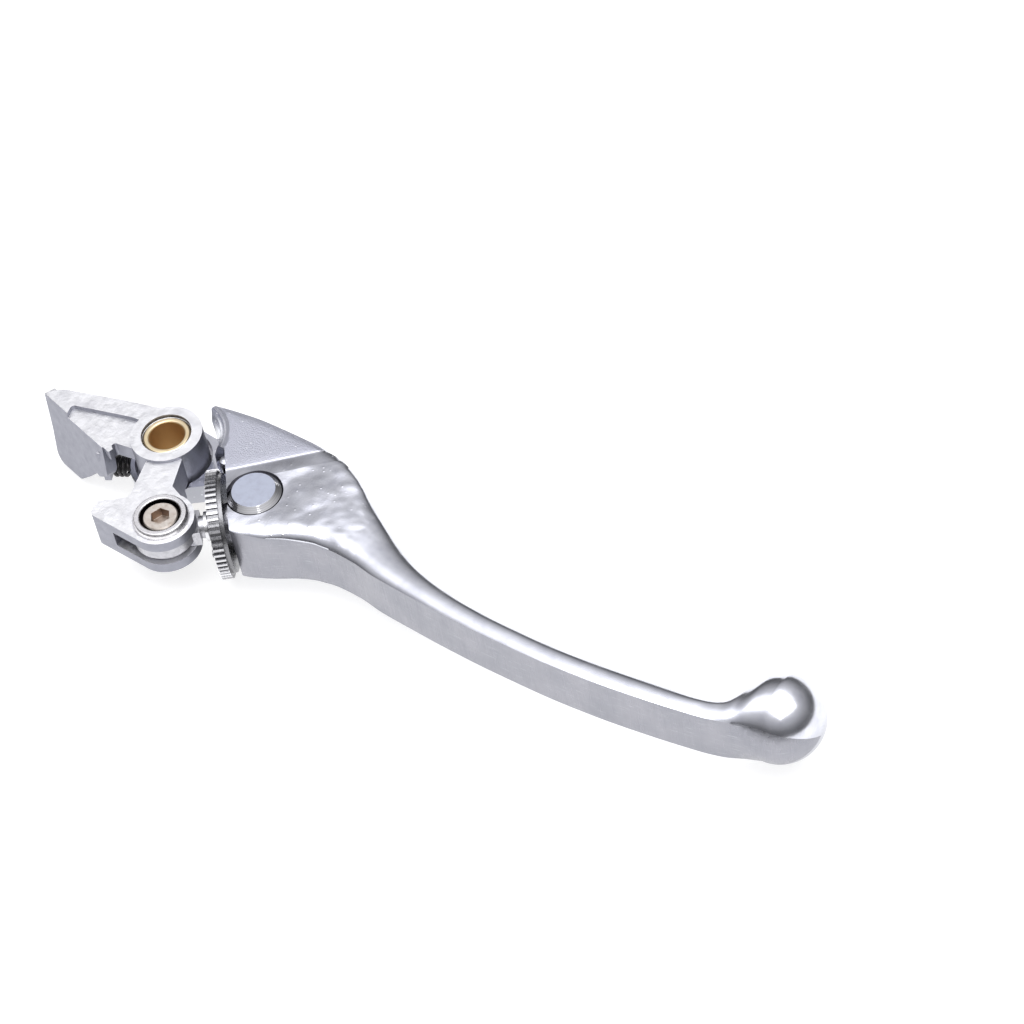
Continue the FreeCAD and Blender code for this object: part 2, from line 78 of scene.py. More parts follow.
# --------------------------------------------------------------- the blade's lines
FRONT_LINE = [
    (4, -17.7), (31.5, -17.6), (38.2, -15.9), (44, -13.2), (50, -11.5), (54, -11.2),
    (60, -11.6), (66, -12.7), (74, -13.5), (85, -14.4), (97, -15.0), (110, -15.2),
    (122, -14.8), (134, -13.8), (147, -12.2), (154, -11.1), (159.3, -10.45),
]
BACK_LINE = [
    (4, 9.8), (8, 10.7), (13.4, 11.4), (20, 11.9), (30, 11.7), (38, 11.1), (42, 10.4),
    (46, 8.8), (53.2, 5.0), (60, 1.5), (67.2, -2.0), (74, -4.8), (81, -6.7), (88, -7.9),
    (97.5, -8.7), (108, -8.9), (118, -8.5), (128, -7.6), (138, -6.7), (145, -6.1),
    (148.5, -5.3), (150.6, -3.4), (152.0, 0.6), (153.0, 4.3), (154.4, 6.8), (156.8, 8.3),
    (159.3, 8.75),
]
CROWN_LINE = [                          # half thickness
    (4, 8.3), (48, 8.3), (56, 8.0), (64, 7.4), (76, 6.9), (92, 6.6), (128, 6.5),
    (146, 6.5), (150, 6.8), (153, 7.6), (156, 9.0), (159.3, 9.6),
]
WALL_LINE = [                           # half height of the belt-ground front side
    (4, 7.4), (31, 7.4), (38, 6.8), (46, 6.3), (60, 6.1), (150, 6.0), (156, 5.6), (159.3, 5.3),
]
SHOULDER_LINE = [                       # from the front side back to the crown
    (4, 4.6), (44, 4.4), (60, 3.6), (80, 2.6), (140, 2.5), (150, 3.6), (155, 7.4), (159.3, 9.6),
]
BOX_LINE = [(4, 26), (44, 18), (56, 5), (70, 2.6), (100, 2.3), (150, 2.1), (159.3, 2.0)]
EDGE_LINE = [(4, 12), (44, 14), (60, 26), (140, 30), (154, 32), (159.3, 33.5)]   # degrees
BELLY_LINE = [(4, 0), (146, 0), (152, 0.3), (156, 1.1), (159.3, 1.6)]

SEAM_START = Vector((21.2, -4.0))       # raised seam across the head's top
SEAM_END = Vector((36.3, 9.9))
SEAM_DROP = 0.14                        # the panel's depth below the polished part
SEAM_RIDGE = 0.05
WAVE_HEIGHT = 0.10
RIPPLE_HEIGHT = 0.05

# ------------------------------------------------- outlines cut from or added to it
KNOCKER_ROOM = [(36.4, -23.5), (16.8, 0.6), (5, 4), (-6, 4), (-6, -30), (36.4, -30)]
DISH = [                                # circles as x, y, radius, z
    (0, 0, 11.0, LUG_TOP - 3), (0, 0, 11.0, LUG_TOP), (0.6, -0.3, 11.0, 2.0),
    (2.2, -1.2, 11.8, 6.5), (3.1, -1.8, 12.6, 7.8), (3.9, -2.3, 13.6, 8.7),
]
LUG_PROFILE = [(9.8, -8.3), (10.2, -7.9), (10.2, -3.3), (9.9, LUG_TOP)]
LUG_WEB = [(5.4, -7.5), (16.8, 0.6), (22, 2), (22, 10.9), (5, 9.4), (0, 9.9), (0, 0)]
LUG_WALL = [(-10.6, -19), (5.39, -7.51), (14, -1.33), (14, -19)]
NUB_PROFILE = [(0.7, 2.6), (1.4, 3.4), (1.4, 6.0), (1.2, 6.5), (0.6, 6.8)]
NUB_PLACE = (17.6, -0.9)
CUP_PROFILE = [
    (BUSH_HOLE, -PAST), (BUSH_HOLE, CUP_FLOOR), (CUP_RADIUS, CUP_FLOOR), (CUP_RADIUS, LUG_TOP + 0.5),
]
SEAT_PROFILE = [
    (CROSS_PIN_HOLE + 0.3, -PAST), (CROSS_PIN_HOLE + 0.3, -8.3), (CROSS_PIN_HOLE, -8.0),
    (CROSS_PIN_HOLE, 8.0), (CROSS_PIN_HOLE + 0.35, 8.35), (CROSS_PIN_HOLE + 0.35, PAST),
]


# ---------------------------------------------------------------- mesh helpers
RING_POINTS = 96


def smooth_line(points):
    """A function through (x, value) points that never overshoots between them."""
    xs = np.array([p[0] for p in points], float)
    ys = np.array([p[1] for p in points], float)
    steps = np.diff(xs)
    slopes = np.diff(ys) / steps
    tangents = np.zeros(len(xs))
    tangents[0] = slopes[0]
    tangents[-1] = slopes[-1]
    for i in range(1, len(xs) - 1):
        if slopes[i - 1] * slopes[i] > 0:
            near = 2 * steps[i] + steps[i - 1]
            far = steps[i] + 2 * steps[i - 1]
            tangents[i] = (near + far) / (near / slopes[i - 1] + far / slopes[i])

    def value(x):
        i = int(np.clip(np.searchsorted(xs, x) - 1, 0, len(steps) - 1))
        t = np.clip((x - xs[i]) / steps[i], 0, 1)
        start = (1 + 2 * t) * (1 - t) ** 2 * ys[i] + t * (1 - t) ** 2 * steps[i] * tangents[i]
        end = t * t * (3 - 2 * t) * ys[i + 1] + t * t * (t - 1) * steps[i] * tangents[i + 1]
        return float(start + end)

    return value


def new_object(name, bm):
    """Turn a bmesh in millimetres into an object in metres."""
    mesh = bpy.data.meshes.new(name)
    bmesh.ops.recalc_face_normals(bm, faces=bm.faces)
    bm.to_mesh(mesh)
    bm.free()
    mesh.transform(Matrix.Scale(MM, 4))
    piece = bpy.data.objects.new(name, mesh)
    bpy.context.collection.objects.link(piece)
    return piece


def loft(rings):
    """A closed skin over rings of equal length; the last one may be a single point."""
    bm = bmesh.new()
    rows = [[bm.verts.new(p) for p in ring] for ring in rings]
    count = len(rows[0])
    for row, following in zip(rows, rows[1:]):
        for i in range(count):
            j = (i + 1) % count
            if len(following) == 1:
                bm.faces.new((row[i], row[j], following[0]))
            else:
                bm.faces.new((row[i], row[j], following[j], following[i]))
    bm.faces.new(rows[0])
    if len(rows[-1]) > 1:
        bm.faces.new(rows[-1])
    return bm


def ring(x, y, radius, z):
    """Points round an upright circle."""
    turns = [2 * math.pi * i / RING_POINTS for i in range(RING_POINTS)]
    return [(x + radius * math.cos(a), y + radius * math.sin(a), z) for a in turns]


def turned(name, profile, x=0.0, y=0.0):
    """A closed solid of revolution about Z from (radius, z) pairs."""
    return new_object(name, loft([ring(x, y, r, z) for r, z in profile]))


def prism(name, corners, low=-PAST, high=PAST):
    """An upright solid over an outline; as a cutter it goes right through."""
    rings = [[(x, y, z) for x, y in corners] for z in (low, high)]
    return new_object(name, loft(rings))


def combine(piece, tool, operation):
    """Boolean of piece with tool, which is used up."""
    change = piece.modifiers.new("combine", "BOOLEAN")
    change.operation = operation
    change.object = tool
    change.solver = "EXACT"
    change.material_mode = "TRANSFER"
    depsgraph = bpy.context.evaluated_depsgraph_get()
    mesh = bpy.data.meshes.new_from_object(piece.evaluated_get(depsgraph))
    piece.modifiers.clear()
    piece.data = mesh
    bpy.data.objects.remove(tool)


# ------------------------------------------------------------------- the blade
LINES = {
    "front": smooth_line(FRONT_LINE), "back": smooth_line(BACK_LINE),
    "crown": smooth_line(CROWN_LINE), "wall": smooth_line(WALL_LINE),
    "shoulder": smooth_line(SHOULDER_LINE), "box": smooth_line(BOX_LINE),
    "edge": smooth_line(EDGE_LINE), "belly": smooth_line(BELLY_LINE),
}
WALL_STEPS = 6          # faces round half a section: side wall, shoulder, top
SHOULDER_STEPS = 9
TOP_STEPS = 34
CURVE_STEPS = 240       # points the top's curve is first worked out at
SHARP_ANGLE = 32        # degrees


def evenly(points, count):
    """The same curve as count + 1 points, evenly spaced along it."""
    points = np.array(points)
    lengths = np.concatenate([[0], np.cumsum(np.hypot(*np.diff(points, axis=0).T))])
    wanted = np.linspace(0, lengths[-1], count + 1)
    return np.column_stack([np.interp(wanted, lengths, points[:, k]) for k in (0, 1)])


def half_section(x):
    """Upper half of the blade's section at x, as (y, z) from mid front to the back."""
    at = {name: line(min(x, BALL.x)) for name, line in LINES.items()}
    edge = math.radians(at["edge"])
    crown_y = at["front"] + at["shoulder"]
    wall = []
    for i in range(WALL_STEPS + 1):
        lift = edge * i / WALL_STEPS
        bulge = (1 - math.cos(lift)) / (1 - math.cos(edge))
        height = at["wall"] * math.sin(lift) / math.sin(edge)
        wall.append((at["front"] + at["belly"] * bulge, height))
    start = crown_y - at["front"] - at["belly"]
    shoulder = []
    for i in range(1, SHOULDER_STEPS + 1):
        turn = edge + (math.pi / 2 - edge) * i / SHOULDER_STEPS
        rise = (math.sin(turn) - math.sin(edge)) / (1 - math.sin(edge))
        y = crown_y - start * math.cos(turn) / math.cos(edge)
        shoulder.append((y, at["wall"] + (at["crown"] - at["wall"]) * rise))
    power = 2 / at["box"]
    curve = []
    for i in range(CURVE_STEPS + 1):
        turn = math.pi / 2 * i / CURVE_STEPS
        y = crown_y + (at["back"] - crown_y) * math.sin(turn) ** power
        curve.append((y, at["crown"] * math.cos(turn) ** power))
    top = evenly(curve, TOP_STEPS)[1:]
    return np.array(wall + shoulder + [tuple(p) for p in top])


def blade_section(x):
    """The whole section at x as 3-D points; past the ball's middle it shrinks to its tip."""
    half = half_section(x)
    beyond = max(x - BALL.x, 0) / BALL_RADIUS
    scale = math.sqrt(max(1 - beyond * beyond, 0))
    half[:, 0] = BALL.y + (half[:, 0] - BALL.y) * (scale if beyond else 1)
    half[:, 1] *= scale if beyond else 1
    lower = [(y, -z) for y, z in half[-2:0:-1]]
    return [(x, y, z) for y, z in half] + [(x, y, z) for y, z in lower]


def blade_stations():
    """Where the sections lie along X, closer together at the head and the ball."""
    head = np.arange(4, 58, 0.7)
    handle = np.arange(58, 146, 1.4)
    neck = np.arange(146, BALL.x, 0.4)
    cap = BALL.x + BALL_RADIUS * np.sin(np.linspace(0, math.pi / 2, 22)[:-1])
    return np.concatenate([head, handle, neck, cap])


def seam_distance(x, y):
    """Signed distance from the head's seam, positive on the sandblasted side."""
    along = (SEAM_END - SEAM_START).normalized()
    offset = Vector((x, y)) - SEAM_START
    return along.x * offset.y - along.y * offset.x


def hand_finish(piece):
    """Seam, sunken panel and the slow waves that hand polishing leaves."""
    for vertex in piece.data.vertices:
        x, y, z = vertex.co / MM
        if abs(z) < 5.0 or x > 150:     # the side walls and the ball stay smooth
            continue
        side = seam_distance(x, y)
        on_head = max(0.0, min(1.0, (48 - x) / 6))
        sunk = SEAM_DROP / (1 + math.exp(-4 * side)) - SEAM_RIDGE * math.exp(-(side / 0.35) ** 2)
        front = max(0.0, min(1.0, -side / 3)) * max(0.0, min(1.0, (64 - x) / 8))
        bend = 0.55 * x + 0.9 * math.sin(0.7 * y)
        wave = WAVE_HEIGHT * math.sin(bend) * math.sin(0.62 * y + 0.3 * x)
        ripple = RIPPLE_HEIGHT * math.sin(1.3 * x - 0.8 * y) * math.sin(0.9 * y + 1.7)
        grow = math.copysign(front * (wave + ripple) - on_head * sunk, z)
        vertex.co.z += grow * MM


def make_head_cuts(piece):
    """Room for the knocker's arm and the wheel, and the dish round its boss."""
    combine(piece, prism("cut", KNOCKER_ROOM), "DIFFERENCE")
    dish = loft([ring(*circle) for circle in DISH])
    combine(piece, new_object("dish", dish), "DIFFERENCE")
    under = turned("under", [(11.0, -PAST), (11.0, LUG_TOP - 0.01)])
    combine(piece, under, "DIFFERENCE")


def make_lug():
    """Flat eye of the blade round the pivot, below the knocker boss."""
    lug = turned("lug", LUG_PROFILE)
    combine(lug, prism("web", LUG_WEB, WEB_BOTTOM, LUG_TOP), "UNION")
    combine(lug, prism("wall", LUG_WALL), "DIFFERENCE")
    bearing = math.radians(COIL_BEARING)
    along = Vector((-math.cos(bearing), -math.sin(bearing)))
    across = Vector((-along.y, along.x)) * 8
    near = along * COIL_FLAT
    far = along * 16                        # well outside the lug
    corners = [near - across, near + across, far + across, far - across]
    combine(lug, prism("flat", [tuple(c) for c in corners]), "DIFFERENCE")
    return lug


def rod_bore():
    """A cutter for the rod and the wheel's hub, lying along the rod."""
    bore = turned("bore", [(ROD_BORE, distance) for distance in ROD_BORE_SPAN])
    rod = (CROSS_PIN - EYE).normalized()
    bore.data.transform(rod.to_track_quat("Z", "Y").to_matrix().to_4x4())
    bore.data.transform(Matrix.Translation(EYE * MM))
    return bore


def add_shape(piece, shape, material, operation):
    """Join or cut a shape, whose faces bring their own material."""
    shape.data.materials.append(material)
    combine(piece, shape, operation)


def make_blade(polished, ground, machined):
    """The visible blade, which stands for the CAD one."""
    stations = blade_stations()
    rings = [blade_section(x) for x in stations]
    rings.append([(BALL.x + BALL_RADIUS, BALL.y, 0)])
    blade = new_object("blade", loft(rings))
    for material in (polished, ground, machined):
        blade.data.materials.append(material)
    section = len(rings[0])
    for face in blade.data.polygons:
        place = face.index % section
        wall = place < WALL_STEPS or place >= section - WALL_STEPS
        face.material_index = 1 if wall and face.index < section * (len(rings) - 1) else 0
    hand_finish(blade)
    make_head_cuts(blade)
    add_shape(blade, make_lug(), machined, "UNION")
    add_shape(blade, turned("nub", NUB_PROFILE, *NUB_PLACE), polished, "UNION")
    add_shape(blade, turned("cup", CUP_PROFILE), machined, "DIFFERENCE")
    seat = turned("seat", SEAT_PROFILE, CROSS_PIN.x, CROSS_PIN.y)
    add_shape(blade, seat, machined, "DIFFERENCE")
    add_shape(blade, rod_bore(), machined, "DIFFERENCE")
    finish_mesh(blade, SHARP_ANGLE)
    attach(blade, "blade_set")
    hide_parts("lever_blade")
    return blade


def finish_mesh(piece, angle):
    """Drop slivers and shade smooth except across real edges."""
    bm = bmesh.new()
    bm.from_mesh(piece.data)
    bmesh.ops.remove_doubles(bm, verts=bm.verts, dist=0.004 * MM)
    bmesh.ops.dissolve_degenerate(bm, edges=bm.edges, dist=0.002 * MM)
    bm.to_mesh(piece.data)
    bm.free()
    piece.data.shade_smooth()
    piece.data.set_sharp_from_angle(angle=math.radians(angle))


# ------------------------------------------------------------------- materials
class Finish:
    """A metal whose roughness, colour and bump vary with object coordinates in mm."""

    def __init__(self, name, color, roughness, metallic=1.0):
        self.material = bpy.data.materials.new(name)
        self.material.use_nodes = True
        self.tree = self.material.node_tree
        self.shader = self.tree.nodes["Principled BSDF"]
        self.shader.inputs["Base Color"].default_value = (*color, 1)
        self.shader.inputs["Metallic"].default_value = metallic
        self.shader.inputs["Roughness"].default_value = roughness
        self.color = color
        coords = self.tree.nodes.new("ShaderNodeTexCoord")
        self.where = self.tree.nodes.new("ShaderNodeVectorMath")
        self.where.operation = "SCALE"
        self.where.inputs["Scale"].default_value = 1 / MM
        self.link(coords.outputs["Object"], self.where.inputs[0])
        self.normal = None

    def link(self, output, socket):
        self.tree.links.new(output, socket)

    def noise(self, per_mm, detail=3.0, stretch=(1, 1, 1)):
        """Cloudy noise; a stretch below 1 draws it out along that axis."""
        mapping = self.tree.nodes.new("ShaderNodeMapping")
        mapping.inputs["Scale"].default_value = stretch
        self.link(self.where.outputs[0], mapping.inputs[0])
        texture = self.tree.nodes.new("ShaderNodeTexNoise")
        texture.inputs["Scale"].default_value = per_mm
        texture.inputs["Detail"].default_value = detail
        self.link(mapping.outputs[0], texture.inputs["Vector"])
        return texture.outputs[0]

    def spots(self, per_mm):
        """Distance from the nearest of some scattered points."""
        texture = self.tree.nodes.new("ShaderNodeTexVoronoi")
        texture.inputs["Scale"].default_value = per_mm
        self.link(self.where.outputs[0], texture.inputs["Vector"])
        return texture.outputs["Distance"]

    def span(self, value, low, high, start=0.0, end=1.0):
        """Map a value's low..high to start..end, and hold it there beyond them."""
        node = self.tree.nodes.new("ShaderNodeMapRange")
        node.inputs["From Min"].default_value = low
        node.inputs["From Max"].default_value = high
        node.inputs["To Min"].default_value = start
        node.inputs["To Max"].default_value = end
        self.link(value, node.inputs["Value"])
        return node.outputs[0]

    def axis(self, name):
        """The X, Y or Z of a point, in mm."""
        node = self.tree.nodes.new("ShaderNodeSeparateXYZ")
        self.link(self.where.outputs[0], node.inputs[0])
        return node.outputs[name]

    def upward(self):
        """How far a face points up: 1 for a top, 0 for a wall."""
        geometry = self.tree.nodes.new("ShaderNodeNewGeometry")
        split = self.tree.nodes.new("ShaderNodeSeparateXYZ")
        self.link(geometry.outputs["True Normal"], split.inputs[0])
        return split.outputs["Z"]

    def vector_math(self, operation, vector, other=None):
        node = self.tree.nodes.new("ShaderNodeVectorMath")
        node.operation = operation
        self.link(vector, node.inputs[0])
        if other is not None:
            node.inputs[1].default_value = other
        return node

    def along(self, direction, origin):
        """Signed distance of a point from the plane through an origin, square to a direction."""
        offset = self.vector_math("SUBTRACT", self.where.outputs[0], origin).outputs[0]
        return self.vector_math("DOT_PRODUCT", offset, direction).outputs["Value"]

    def around(self, origin, axis=(0, 0, 1)):
        """Distance of a point from the line through an origin along a unit axis."""
        offset = self.vector_math("SUBTRACT", self.where.outputs[0], origin).outputs[0]
        cross = self.vector_math("CROSS_PRODUCT", offset, axis).outputs[0]
        return self.vector_math("LENGTH", cross).outputs["Value"]

    def product(self, a, b):
        """A socket times a number or another socket."""
        node = self.tree.nodes.new("ShaderNodeMath")
        node.operation = "MULTIPLY"
        self.link(a, node.inputs[0])
        if isinstance(b, float):
            node.inputs[1].default_value = b
        else:
            self.link(b, node.inputs[1])
        return node.outputs[0]

    def blend(self, mask, first, second):
        """A number that goes from first to second with the mask; either may be a socket."""
        node = self.tree.nodes.new("ShaderNodeMix")
        self.link(mask, node.inputs["Factor"])
        for value, socket in ((first, node.inputs[2]), (second, node.inputs[3])):
            if isinstance(value, float):
                socket.default_value = value
            else:
                self.link(value, socket)
        return node.outputs[0]

    def tint(self, mask, other):
        """Go from the colour so far to another one with the mask."""
        node = self.tree.nodes.new("ShaderNodeMix")
        node.data_type = "RGBA"
        self.link(mask, node.inputs["Factor"])
        base = self.shader.inputs["Base Color"]
        if base.is_linked:
            self.link(base.links[0].from_socket, node.inputs[6])
        else:
            node.inputs[6].default_value = (*self.color, 1)
        node.inputs[7].default_value = (*other, 1)
        self.link(node.outputs[2], base)

    def roughness(self, value):
        self.link(value, self.shader.inputs["Roughness"])

    def bump(self, height, depth_mm):
        """Add relief of that depth on top of the bumps so far."""
        node = self.tree.nodes.new("ShaderNodeBump")
        node.inputs["Strength"].default_value = 1.0
        node.inputs["Distance"].default_value = depth_mm * MM
        self.link(height, node.inputs["Height"])
        if self.normal is not None:
            self.link(self.normal, node.inputs["Normal"])
        self.normal = node.outputs[0]
        self.link(self.normal, self.shader.inputs["Normal"])


def polished_casting():
    """Hand-polished aluminium: orange peel, pitting with painted glints, a painted highlight along
    the raised seam, painted shade on faces turned away from the top, and a sandblasted panel past the
    seam.
    """
    finish = Finish("polished_casting", (0.72, 0.73, 0.79), 0.13)
    seam = (SEAM_END - SEAM_START).normalized()
    side = finish.along((-seam.y, seam.x, 0), (SEAM_START.x, SEAM_START.y, 0))
    panel = finish.span(side, -0.2, 0.2)
    top = finish.span(finish.axis("Z"), 7.6, 7.9)
    panel = finish.product(panel, top)
    # painted highlight: a lighter band along the raised seam on the top
    ridge_highlight = finish.product(finish.span(side, -0.25, -0.05), finish.span(side, 0.05, 0.25, 1.0, 0.0))
    ridge_highlight = finish.product(ridge_highlight, top)
    grain = finish.noise(4.0, 4)
    head = finish.span(finish.axis("X"), 46.0, 60.0, 1.0, 0.0)
    off_panel = finish.span(side, -4.0, -0.5, 1.0, 0.0)
    waves = finish.product(finish.noise(0.15, 0), finish.product(head, off_panel))
    peel = finish.product(finish.noise(1.7, 2), head)
    pits_and_glints = finish.product(finish.span(finish.spots(0.55), 0.0, 0.16, 1.0, 0.0), head)
    smear = finish.span(finish.noise(0.16, 3), 0.35, 0.7, 0.10, 0.24)
    finish.roughness(finish.blend(panel, smear, 0.40))
    finish.tint(finish.span(finish.noise(0.35, 4), 0.42, 0.75), (0.62, 0.63, 0.70))
    finish.tint(panel, (0.57, 0.58, 0.66))
    finish.tint(ridge_highlight, (0.80, 0.80, 0.86))
    # painted shade: faces turned away from the top are tinted darker
    flank_shade = finish.span(finish.upward(), -0.1, 0.3, 1.0, 0.0)
    finish.tint(flank_shade, (0.44, 0.45, 0.49))
    # painted glints: the pits are tinted brighter than the metal; their bump below is real pitting
    finish.tint(pits_and_glints, (0.90, 0.90, 0.95))
    finish.bump(waves, 0.7)
    finish.bump(peel, 0.014)
    finish.bump(finish.product(grain, finish.span(panel, 0, 1, 0.06, 1.0)), 0.12)
    finish.bump(pits_and_glints, 0.05)
    return finish.material


def ground_side():
    """Belt-ground side: fine lines across the edge and a soft satin sheen."""
    finish = Finish("ground_side", (0.35, 0.35, 0.385), 0.34)
    lines = finish.noise(1.0, 4, stretch=(3.5, 3.5, 0.12))
    scratches = finish.noise(1.0, 2, stretch=(0.3, 0.3, 5.0))
    finish.roughness(finish.span(lines, 0.3, 0.7, 0.24, 0.42))
    finish.tint(finish.span(finish.noise(0.12, 4), 0.4, 0.7), (0.30, 0.305, 0.34))
    finish.tint(finish.span(scratches, 0.62, 0.74), (0.44, 0.45, 0.48))
    finish.bump(lines, 0.035)
    finish.bump(finish.noise(0.3, 2), 0.08)
    return finish.material


def machined_metal():
    """Milled faces with fine rings, and painted shade in the gap round the cross pin."""
    finish = Finish("machined_metal", (0.50, 0.50, 0.54), 0.30)
    rings = finish.noise(1.0, 3, stretch=(0.4, 0.4, 6.0))
    finish.roughness(finish.span(rings, 0.3, 0.7, 0.22, 0.45))
    finish.tint(finish.span(finish.noise(0.4, 4), 0.45, 0.7), (0.36, 0.36, 0.39))
    # painted shade: a near-black ring in the gap round the cross pin
    gap = finish.span(finish.around(CROSS_PIN), 6.5, 6.8, 1.0, 0.0)
    finish.tint(gap, (0.05, 0.05, 0.06))
    finish.bump(rings, 0.03)
    return finish.material


def blasted_casting():
    """Bead-blasted aluminium with a fine grain, painted shade on the side walls, and painted shade
    round the bush and the pin seat.
    """
    finish = Finish("blasted_casting", (0.93, 0.93, 0.95), 0.50)
    # painted shade: faces that turn from up to sideways are tinted darker
    wall = finish.span(finish.upward(), 0.4, 0.8, 1.0, 0.0)
    finish.tint(finish.span(finish.noise(0.25, 5), 0.45, 0.72), (0.80, 0.80, 0.83))
    finish.tint(wall, (0.32, 0.325, 0.37))
    # painted shade: a near-black ring in the gap round the pivot bush
    high = finish.span(finish.axis("Z"), 3.0, 3.2)
    bush_gap_shade = finish.span(finish.around(PIVOT), 5.62, 5.68, 1.0, 0.0)
    finish.tint(finish.product(high, bush_gap_shade), (0.04, 0.03, 0.03))
    # painted shade: a near-black ring in the gap round the pin collar
    pin_seat_shade = finish.span(finish.around(EYE), 5.3, 5.5, 1.0, 0.0)
    finish.tint(pin_seat_shade, (0.05, 0.04, 0.04))
    finish.roughness(finish.span(finish.noise(0.6, 4), 0.3, 0.7, 0.38, 0.52))
    finish.bump(finish.noise(0.5, 4), 0.12)
    finish.bump(finish.noise(5.0, 3), 0.04)
    return finish.material


def turned_metal(name, color, dark, rough, centre, per_mm=5.0, depth=0.02):
    """Lathe-turned metal: fine rings about an upright axis, with stains of a darker colour."""
    finish = Finish(name, color, rough)
    wave = finish.tree.nodes.new("ShaderNodeMath")
    wave.operation = "SINE"
    finish.link(finish.product(finish.around(centre), per_mm * 2 * math.pi), wave.inputs[0])
    rings = finish.span(wave.outputs[0], -1, 1)
    stain = finish.span(finish.noise(0.8, 5), 0.42, 0.72)
    finish.tint(stain, dark)
    finish.roughness(finish.span(finish.noise(1.5, 3), 0.3, 0.7, rough * 0.8, rough * 1.25))
    finish.bump(rings, depth)
    finish.bump(finish.noise(3.0, 3), 0.006)
    return finish


def brass():
    """Bright turned face, and painted shade in the bore, darker and browner."""
    finish = turned_metal("brass", (0.98, 0.82, 0.55), (0.92, 0.74, 0.46), 0.30, PIVOT, 5.0, 0.006)
    # painted shade: the bore is tinted darker and browner; its higher roughness is real
    bore = finish.span(finish.around(PIVOT), 4.05, 4.20, 1.0, 0.0)
    finish.tint(bore, (0.58, 0.38, 0.17))
    finish.roughness(finish.blend(bore, 0.30, 0.60))
    return finish.material


def pin_steel():
    """Matte grey-blue end face with a polished chamfer, its colour lightened as a painted highlight.
    """
    finish = turned_metal(
        "pin_steel", (0.60, 0.64, 0.76), (0.54, 0.57, 0.68), 0.36, CROSS_PIN, 3.0, 0.004)
    # polished chamfer: its low roughness is real, its brighter colour is a painted highlight
    polished_rim_highlight = finish.span(finish.around(CROSS_PIN), 4.85, 4.95)
    finish.tint(polished_rim_highlight, (0.88, 0.88, 0.90))
    finish.roughness(finish.blend(polished_rim_highlight, 0.36, 0.07))
    return finish.material


def socket_steel():
    """Yellowish steel, with painted shade on the hex socket's walls and in the gap round the head."""
    finish = turned_metal(
        "socket_steel", (0.78, 0.72, 0.66), (0.58, 0.50, 0.43), 0.36, EYE, 3.0, 0.01)
    from_axis = finish.around(EYE)
    height = finish.axis("Z")
    # painted shade: the walls inside the hex socket are tinted dark brown
    walls = finish.product(finish.span(height, 5.42, 5.52, 1.0, 0.0), finish.span(height, 3.2, 3.35))
    hexagon_shade = finish.product(walls, finish.span(from_axis, 2.8, 3.0, 1.0, 0.0))
    finish.tint(hexagon_shade, (0.22, 0.15, 0.11))
    # painted shade: a near-black ring in the gap round the head
    finish.tint(finish.span(from_axis, 3.93, 3.97), (0.03, 0.03, 0.03))
    return finish.material


def collar_steel():
    """Bright turned ring with painted shade on its inside."""
    finish = turned_metal(
        "collar_steel", (0.90, 0.89, 0.91), (0.83, 0.81, 0.82), 0.28, EYE, 4.0, 0.003)
    # painted shade: the collar's inside is tinted near black
    finish.tint(finish.span(finish.around(EYE), 4.61, 4.65, 1.0, 0.0), (0.04, 0.03, 0.03))
    return finish.material


def plated(name, color, rough):
    """Bright zinc or nickel plate with faint clouding."""
    finish = Finish(name, color, rough)
    finish.tint(finish.span(finish.noise(0.7, 4), 0.42, 0.72), tuple(c * 0.8 for c in color))
    finish.roughness(finish.span(finish.noise(1.8, 3), 0.3, 0.7, rough * 0.7, rough * 1.4))
    finish.bump(finish.noise(2.2, 3), 0.03)
    return finish.material


def knurled_nickel():
    """Nickel plate with painted shade between the wheel's teeth."""
    finish = Finish("knurled_nickel", (0.66, 0.66, 0.68), 0.24)
    rod = (CROSS_PIN - EYE).normalized()
    # painted shade: the valleys between the teeth are tinted dark
    valley_shade = finish.span(finish.around(EYE, rod), 11.6, 11.9, 1.0, 0.0)
    finish.tint(finish.span(finish.noise(0.7, 4), 0.42, 0.72), (0.54, 0.54, 0.56))
    finish.tint(valley_shade, (0.22, 0.22, 0.23))
    finish.roughness(finish.span(finish.noise(1.8, 3), 0.3, 0.7, 0.18, 0.34))
    finish.bump(finish.noise(2.2, 3), 0.03)
    return finish.material


def black_wire():
    """Black oxide wire with faintly rubbed places."""
    finish = Finish("black_wire", (0.035, 0.034, 0.035), 0.34, 0.7)
    finish.tint(finish.span(finish.noise(1.2, 4), 0.5, 0.72), (0.11, 0.10, 0.10))
    finish.bump(finish.noise(4.0, 2), 0.02)
    return finish.material


def refine(node, width, segments=2):
    """Small rounded edges on a CAD node, its outline left as it is."""
    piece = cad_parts[node]
    custom = piece.data.attributes.get("custom_normal")
    if custom is not None:
        piece.data.attributes.remove(custom)
    weld = piece.modifiers.new("weld", "WELD")
    weld.merge_threshold = 0.001 * MM
    bevel = piece.modifiers.new("edges", "BEVEL")
    bevel.width = width * MM
    bevel.segments = segments
    bevel.limit_method = "ANGLE"
    bevel.angle_limit = math.radians(30)
    bevel.harden_normals = True


def dress(node, material):
    """Give a CAD node its material."""
    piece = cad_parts[node]
    piece.data.materials.clear()
    piece.data.materials.append(material)


# ---------------------------------------------------------------------- studio
SKY_LEVELS = [          # sine of the height above the horizon, brightness
    (0.0, 0.34), (0.04, 0.12), (0.28, 0.18), (0.58, 0.50), (0.76, 0.74), (0.92, 1.7),
]
SKY_BLUE = 1.03
LENS = 123.05           # focal length, for a sensor 36 wide
CAMERA_PLACE = (421.22, -351.31, 562.55)
CAMERA_TURNS = (41.309, 7.777, 33.9)    # degrees
KEY_PLACE = (250, -50, 850)
KEY_AIM = (60, -5, 0)
FLOOR_HALF = 3.0        # metres, like the gap
FLOOR_GAP = 0.001


